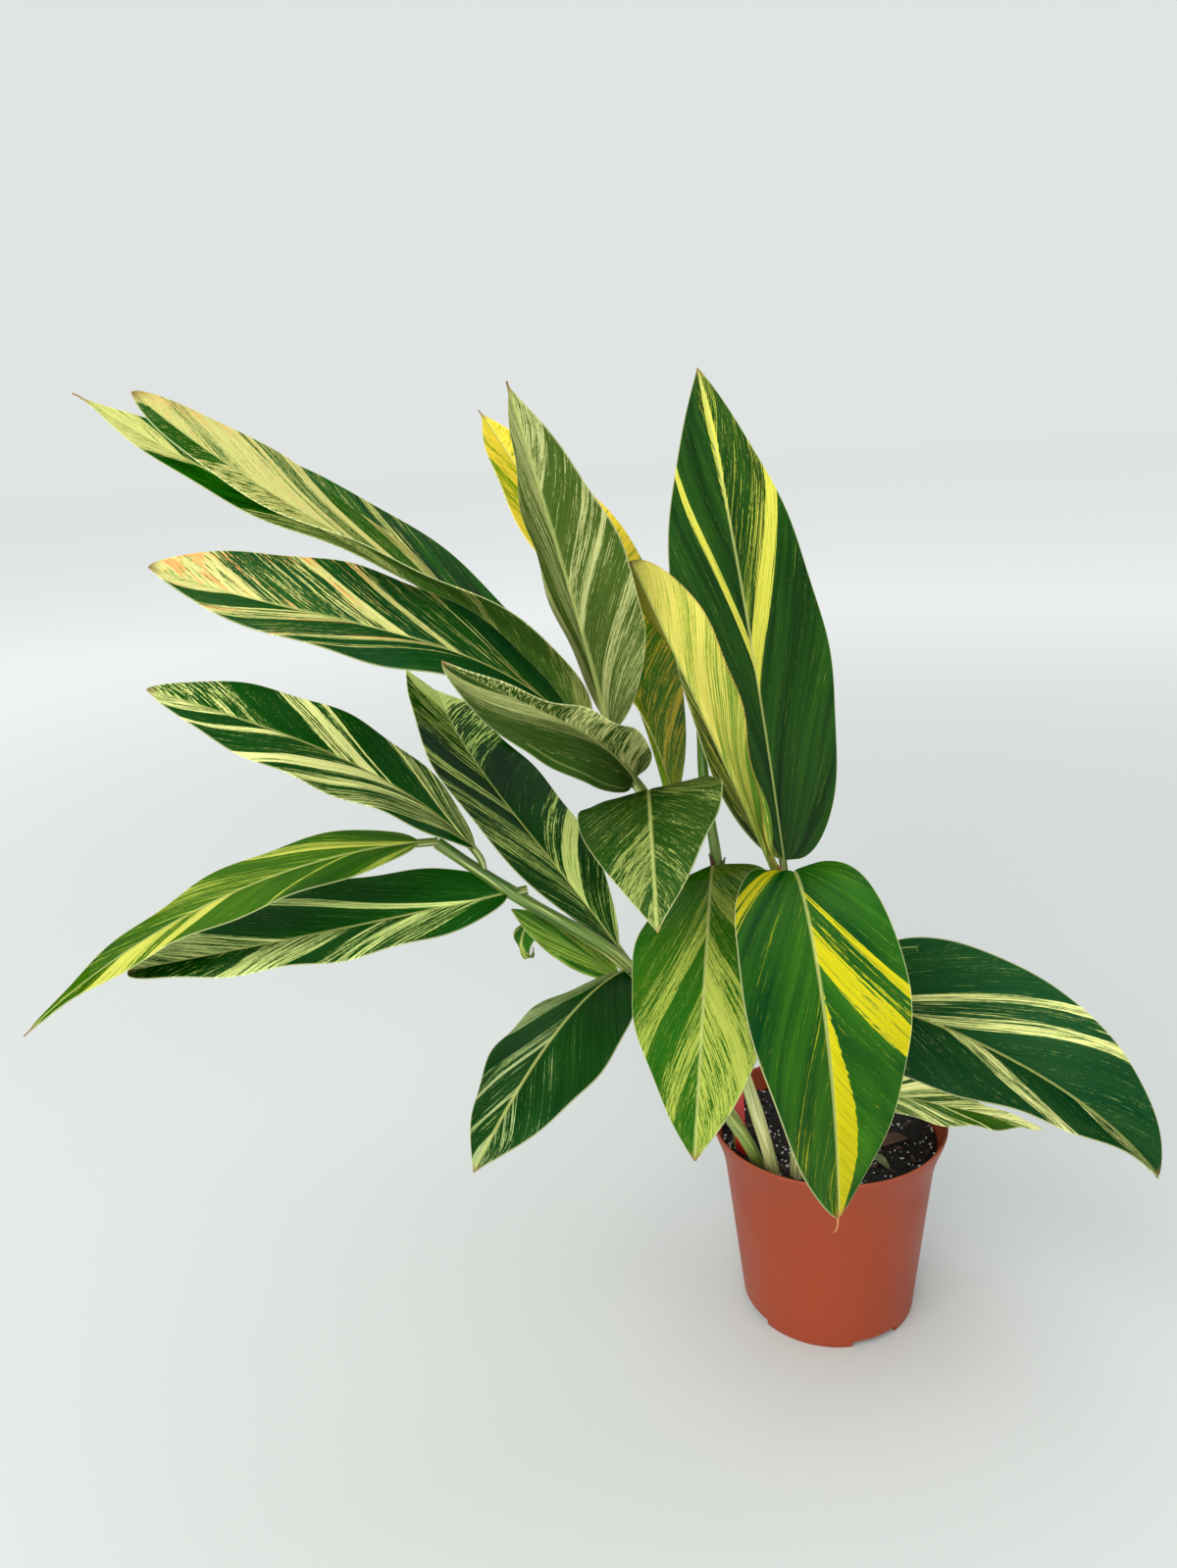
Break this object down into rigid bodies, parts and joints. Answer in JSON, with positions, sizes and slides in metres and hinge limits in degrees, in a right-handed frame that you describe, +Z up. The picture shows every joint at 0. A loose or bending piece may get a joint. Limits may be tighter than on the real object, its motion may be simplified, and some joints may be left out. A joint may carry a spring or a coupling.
{
  "type": "potted variegated shell ginger",
  "caption": "Round flared plastic grower's pot of soil with leaning leafy canes that carry long, pointed, cream-striped green leaves.",
  "frame": {"origin": "centre of the pot's base, on the surface the pot stands on", "axes": "+Z up; +X towards the side of the right-hand leaves; +Y towards the back of the plant"},
  "size_m": [0.7844, 0.473, 0.7806],
  "materials": {
    "pot": "satin terracotta plastic",
    "soil": "damp dark potting mix",
    "cane": "smooth green stem",
    "leaf": "satin striped leaf",
    "label": "thin plain plastic",
    "dry_leaf": "dry and brown",
    "old_sheath": "faded olive"
  },
  "bodies": {
    "root": {"pot": "pot", "soil": "soil", "cane_left": "cane", "cane_middle": "cane", "cane_back": "cane", "cane_front": "cane", "cane_right": "cane", "leaf_left_1": "leaf", "leaf_left_2": "leaf", "leaf_left_3": "leaf", "leaf_left_4": "leaf", "leaf_left_5": "leaf", "leaf_left_6": "leaf", "leaf_middle_1": "leaf", "leaf_middle_2": "leaf", "leaf_middle_3": "leaf", "leaf_middle_4": "leaf", "leaf_middle_5": "leaf", "leaf_middle_6": "leaf", "leaf_middle_7": "leaf", "leaf_back_1": "leaf", "leaf_back_2": "leaf", "leaf_front_1": "leaf", "leaf_front_2": "leaf", "leaf_front_3": "leaf", "leaf_right_1": "leaf", "leaf_right_2": "leaf", "label": "label", "dry_leaf_scrap": "dry_leaf", "old_sheath_scrap": "old_sheath"}
  },
  "joints": []
}
